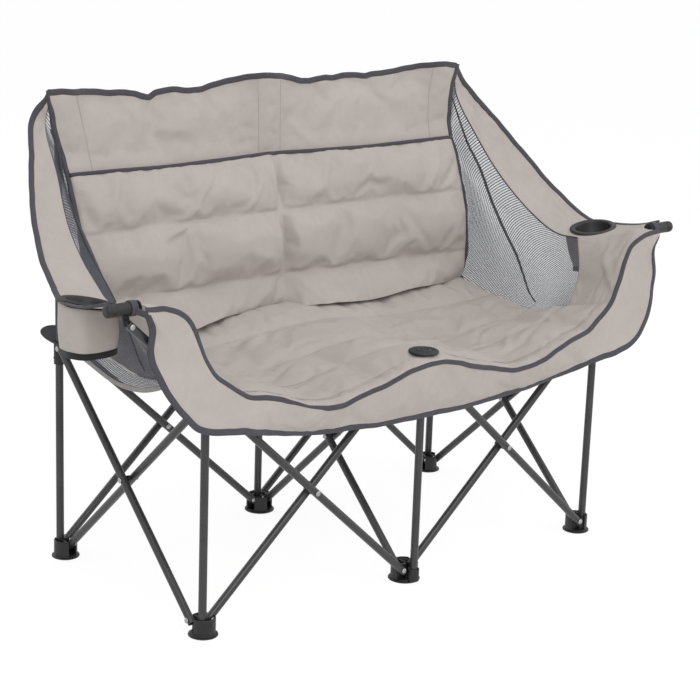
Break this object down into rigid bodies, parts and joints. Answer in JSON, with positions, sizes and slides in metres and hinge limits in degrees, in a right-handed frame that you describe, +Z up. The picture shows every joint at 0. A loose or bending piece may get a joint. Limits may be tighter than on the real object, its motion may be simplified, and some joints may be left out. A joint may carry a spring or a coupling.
{
  "type": "folding camping loveseat",
  "caption": "Two-seat folding camping chair: padded fabric seat, back and arms on a frame of crossed tubes that gathers together, with cup holders in the arms",
  "frame": {"origin": "on the ground, under the centre of the whole chair", "axes": "X across the chair to its right as seen from the front, Y from the front to the back, Z up"},
  "size_m": [1.453, 0.6024, 0.9653],
  "materials": {
    "tube_coat": "satin charcoal powder coat",
    "rivet_metal": "plain steel rivet heads",
    "black_plastic": "fine-textured black moulding",
    "seat_fabric": "woven polyester, greige",
    "apron_fabric": "woven polyester, light greige",
    "mesh_fabric": "see-through polyester mesh, slate"
  },
  "bodies": {
    "rear_centre": {"foot_rear_centre": "black_plastic", "post_rear_centre": "tube_coat", "back_band": "seat_fabric", "back_pad": "seat_fabric"},
    "tube_rear_centre_to_front_centre": {"tube_rear_centre_to_front_centre": "tube_coat", "crossing_pin_middle": "rivet_metal"},
    "tube_front_centre_to_rear_centre": {"tube_front_centre_to_rear_centre": "tube_coat"},
    "foot_front_centre": {"foot_front_centre": "black_plastic", "post_front_centre": "tube_coat"},
    "hub_front_centre": {"hub_front_centre": "black_plastic", "seat_button": "black_plastic", "apron": "apron_fabric"},
    "hub_rear_centre": {"hub_rear_centre": "black_plastic"},
    "tube_rear_centre_to_rear_left": {"tube_rear_centre_to_rear_left": "tube_coat", "crossing_pin_rear_left": "rivet_metal"},
    "tube_rear_left_to_rear_centre": {"tube_rear_left_to_rear_centre": "tube_coat"},
    "foot_rear_left": {"foot_rear_left": "black_plastic", "post_rear_left": "tube_coat", "wing_left": "seat_fabric", "mesh_left": "mesh_fabric"},
    "hub_rear_left": {"hub_rear_left": "black_plastic"},
    "tube_rear_centre_to_rear_right": {"tube_rear_centre_to_rear_right": "tube_coat", "crossing_pin_rear_right": "rivet_metal"},
    "tube_rear_right_to_rear_centre": {"tube_rear_right_to_rear_centre": "tube_coat"},
    "foot_rear_right": {"foot_rear_right": "black_plastic", "post_rear_right": "tube_coat", "wing_right": "seat_fabric", "mesh_right": "mesh_fabric"},
    "hub_rear_right": {"hub_rear_right": "black_plastic"},
    "arm_tube_left": {"arm_tube_left": "tube_coat", "crossing_pin_front_left": "rivet_metal", "arm_bracket_left": "black_plastic"},
    "tube_front_left_to_front_centre": {"tube_front_left_to_front_centre": "tube_coat"},
    "foot_front_left": {"foot_front_left": "black_plastic", "post_front_left": "tube_coat"},
    "hub_front_left": {"hub_front_left": "black_plastic", "gusset_left": "seat_fabric", "arm_left": "seat_fabric", "cup_holder_left": "black_plastic", "pouch_left": "apron_fabric"},
    "arm_tube_right": {"arm_tube_right": "tube_coat", "crossing_pin_front_right": "rivet_metal", "arm_bracket_right": "black_plastic"},
    "tube_front_right_to_front_centre": {"tube_front_right_to_front_centre": "tube_coat"},
    "foot_front_right": {"foot_front_right": "black_plastic", "post_front_right": "tube_coat"},
    "hub_front_right": {"hub_front_right": "black_plastic", "gusset_right": "seat_fabric", "arm_right": "seat_fabric", "cup_holder_right": "black_plastic", "pouch_right": "apron_fabric"},
    "tube_rear_left_to_front_left": {"tube_rear_left_to_front_left": "tube_coat", "crossing_pin_side_left": "rivet_metal"},
    "tube_front_left_to_rear_left": {"tube_front_left_to_rear_left": "tube_coat"},
    "tube_rear_right_to_front_right": {"tube_rear_right_to_front_right": "tube_coat", "crossing_pin_side_right": "rivet_metal"},
    "tube_front_right_to_rear_right": {"tube_front_right_to_rear_right": "tube_coat"},
    "seat_rear": {"seat_rear": "seat_fabric"},
    "seat_front": {"seat_front": "seat_fabric"}
  },
  "joints": [
    {"name": "frame_fold", "type": "hinge", "parent": "rear_centre", "child": "tube_rear_centre_to_front_centre", "pos_m": [0, 0.2522, 0.03], "axis": [-1, 0, 0], "range_deg": [0, 44], "deforming": ["back_band", "back_pad", "wing_left", "wing_right", "mesh_left", "mesh_right", "arm_left", "arm_right", "gusset_left", "gusset_right", "pouch_left", "pouch_right", "apron", "seat_front", "seat_rear"]},
    {"name": "middle_crossing", "type": "hinge", "parent": "tube_rear_centre_to_front_centre", "child": "tube_front_centre_to_rear_centre", "pos_m": [0, 0.0212, 0.2415], "axis": [1, 0, 0], "range_deg": [0, 88]},
    {"name": "foot_front_centre_pivot", "type": "hinge", "parent": "tube_front_centre_to_rear_centre", "child": "foot_front_centre", "pos_m": [0, -0.2098, 0.03], "axis": [-1, 0, 0], "range_deg": [0, 44]},
    {"name": "hub_front_centre_pivot", "type": "hinge", "parent": "tube_rear_centre_to_front_centre", "child": "hub_front_centre", "pos_m": [0, -0.2098, 0.453], "axis": [1, 0, 0], "range_deg": [0, 44]},
    {"name": "hub_rear_centre_pivot", "type": "hinge", "parent": "tube_front_centre_to_rear_centre", "child": "hub_rear_centre", "pos_m": [0, 0.2522, 0.453], "axis": [-1, 0, 0], "range_deg": [0, 44]},
    {"name": "rear_left_outward_tube_pivot", "type": "hinge", "parent": "rear_centre", "child": "tube_rear_centre_to_rear_left", "pos_m": [-0.024, 0.2762, 0.03], "axis": [0, 1, 0], "range_deg": [0, 44]},
    {"name": "rear_left_crossing", "type": "hinge", "parent": "tube_rear_centre_to_rear_left", "child": "tube_rear_left_to_rear_centre", "pos_m": [-0.255, 0.2762, 0.2415], "axis": [0, -1, 0], "range_deg": [0, 88]},
    {"name": "foot_rear_left_pivot", "type": "hinge", "parent": "tube_rear_left_to_rear_centre", "child": "foot_rear_left", "pos_m": [-0.486, 0.2762, 0.03], "axis": [0, 1, 0], "range_deg": [0, 44]},
    {"name": "hub_rear_left_pivot", "type": "hinge", "parent": "tube_rear_centre_to_rear_left", "child": "hub_rear_left", "pos_m": [-0.486, 0.2762, 0.453], "axis": [0, -1, 0], "range_deg": [0, 44]},
    {"name": "rear_right_outward_tube_pivot", "type": "hinge", "parent": "rear_centre", "child": "tube_rear_centre_to_rear_right", "pos_m": [0.024, 0.2762, 0.03], "axis": [0, -1, 0], "range_deg": [0, 44]},
    {"name": "rear_right_crossing", "type": "hinge", "parent": "tube_rear_centre_to_rear_right", "child": "tube_rear_right_to_rear_centre", "pos_m": [0.255, 0.2762, 0.2415], "axis": [0, 1, 0], "range_deg": [0, 88]},
    {"name": "foot_rear_right_pivot", "type": "hinge", "parent": "tube_rear_right_to_rear_centre", "child": "foot_rear_right", "pos_m": [0.486, 0.2762, 0.03], "axis": [0, -1, 0], "range_deg": [0, 44]},
    {"name": "hub_rear_right_pivot", "type": "hinge", "parent": "tube_rear_centre_to_rear_right", "child": "hub_rear_right", "pos_m": [0.486, 0.2762, 0.453], "axis": [0, 1, 0], "range_deg": [0, 44]},
    {"name": "front_left_outward_tube_pivot", "type": "hinge", "parent": "foot_front_centre", "child": "arm_tube_left", "pos_m": [-0.024, -0.2338, 0.03], "axis": [0, 1, 0], "range_deg": [0, 44]},
    {"name": "front_left_crossing", "type": "hinge", "parent": "arm_tube_left", "child": "tube_front_left_to_front_centre", "pos_m": [-0.255, -0.2338, 0.2415], "axis": [0, -1, 0], "range_deg": [0, 88]},
    {"name": "foot_front_left_pivot", "type": "hinge", "parent": "tube_front_left_to_front_centre", "child": "foot_front_left", "pos_m": [-0.486, -0.2338, 0.03], "axis": [0, 1, 0], "range_deg": [0, 44]},
    {"name": "hub_front_left_pivot", "type": "hinge", "parent": "arm_tube_left", "child": "hub_front_left", "pos_m": [-0.486, -0.2338, 0.453], "axis": [0, -1, 0], "range_deg": [0, 44]},
    {"name": "front_right_outward_tube_pivot", "type": "hinge", "parent": "foot_front_centre", "child": "arm_tube_right", "pos_m": [0.024, -0.2338, 0.03], "axis": [0, -1, 0], "range_deg": [0, 44]},
    {"name": "front_right_crossing", "type": "hinge", "parent": "arm_tube_right", "child": "tube_front_right_to_front_centre", "pos_m": [0.255, -0.2338, 0.2415], "axis": [0, 1, 0], "range_deg": [0, 88]},
    {"name": "foot_front_right_pivot", "type": "hinge", "parent": "tube_front_right_to_front_centre", "child": "foot_front_right", "pos_m": [0.486, -0.2338, 0.03], "axis": [0, -1, 0], "range_deg": [0, 44]},
    {"name": "hub_front_right_pivot", "type": "hinge", "parent": "arm_tube_right", "child": "hub_front_right", "pos_m": [0.486, -0.2338, 0.453], "axis": [0, 1, 0], "range_deg": [0, 44]},
    {"name": "side_left_outward_tube_pivot", "type": "hinge", "parent": "foot_rear_left", "child": "tube_rear_left_to_front_left", "pos_m": [-0.51, 0.2522, 0.03], "axis": [-1, 0, 0], "range_deg": [0, 44]},
    {"name": "side_left_crossing", "type": "hinge", "parent": "tube_rear_left_to_front_left", "child": "tube_front_left_to_rear_left", "pos_m": [-0.51, 0.0212, 0.2415], "axis": [1, 0, 0], "range_deg": [0, 88]},
    {"name": "side_right_outward_tube_pivot", "type": "hinge", "parent": "foot_rear_right", "child": "tube_rear_right_to_front_right", "pos_m": [0.51, 0.2522, 0.03], "axis": [-1, 0, 0], "range_deg": [0, 44]},
    {"name": "side_right_crossing", "type": "hinge", "parent": "tube_rear_right_to_front_right", "child": "tube_front_right_to_rear_right", "pos_m": [0.51, 0.0212, 0.2415], "axis": [1, 0, 0], "range_deg": [0, 88]},
    {"name": "seat_rear_fold", "type": "hinge", "parent": "hub_rear_centre", "child": "seat_rear", "pos_m": [0, 0.2212, 0.478], "axis": [1, 0, 0], "range_deg": [0, 83]},
    {"name": "seat_front_fold", "type": "hinge", "parent": "hub_front_centre", "child": "seat_front", "pos_m": [0, -0.2708, 0.473], "axis": [-1, 0, 0], "range_deg": [0, 83]}
  ],
  "couplings": [
    {"joint": "middle_crossing", "follows": "frame_fold", "ratio": 2},
    {"joint": "foot_front_centre_pivot", "follows": "frame_fold", "ratio": 1},
    {"joint": "hub_front_centre_pivot", "follows": "frame_fold", "ratio": 1},
    {"joint": "hub_rear_centre_pivot", "follows": "frame_fold", "ratio": 1},
    {"joint": "rear_left_outward_tube_pivot", "follows": "frame_fold", "ratio": 1},
    {"joint": "rear_left_crossing", "follows": "frame_fold", "ratio": 2},
    {"joint": "foot_rear_left_pivot", "follows": "frame_fold", "ratio": 1},
    {"joint": "hub_rear_left_pivot", "follows": "frame_fold", "ratio": 1},
    {"joint": "rear_right_outward_tube_pivot", "follows": "frame_fold", "ratio": 1},
    {"joint": "rear_right_crossing", "follows": "frame_fold", "ratio": 2},
    {"joint": "foot_rear_right_pivot", "follows": "frame_fold", "ratio": 1},
    {"joint": "hub_rear_right_pivot", "follows": "frame_fold", "ratio": 1},
    {"joint": "front_left_outward_tube_pivot", "follows": "frame_fold", "ratio": 1},
    {"joint": "front_left_crossing", "follows": "frame_fold", "ratio": 2},
    {"joint": "foot_front_left_pivot", "follows": "frame_fold", "ratio": 1},
    {"joint": "hub_front_left_pivot", "follows": "frame_fold", "ratio": 1},
    {"joint": "front_right_outward_tube_pivot", "follows": "frame_fold", "ratio": 1},
    {"joint": "front_right_crossing", "follows": "frame_fold", "ratio": 2},
    {"joint": "foot_front_right_pivot", "follows": "frame_fold", "ratio": 1},
    {"joint": "hub_front_right_pivot", "follows": "frame_fold", "ratio": 1},
    {"joint": "side_left_outward_tube_pivot", "follows": "frame_fold", "ratio": 1},
    {"joint": "side_left_crossing", "follows": "frame_fold", "ratio": 2},
    {"joint": "side_right_outward_tube_pivot", "follows": "frame_fold", "ratio": 1},
    {"joint": "side_right_crossing", "follows": "frame_fold", "ratio": 2},
    {"joint": "seat_rear_fold", "follows": "frame_fold", "ratio": 1.8864},
    {"joint": "seat_front_fold", "follows": "frame_fold", "ratio": 1.8864}
  ]
}
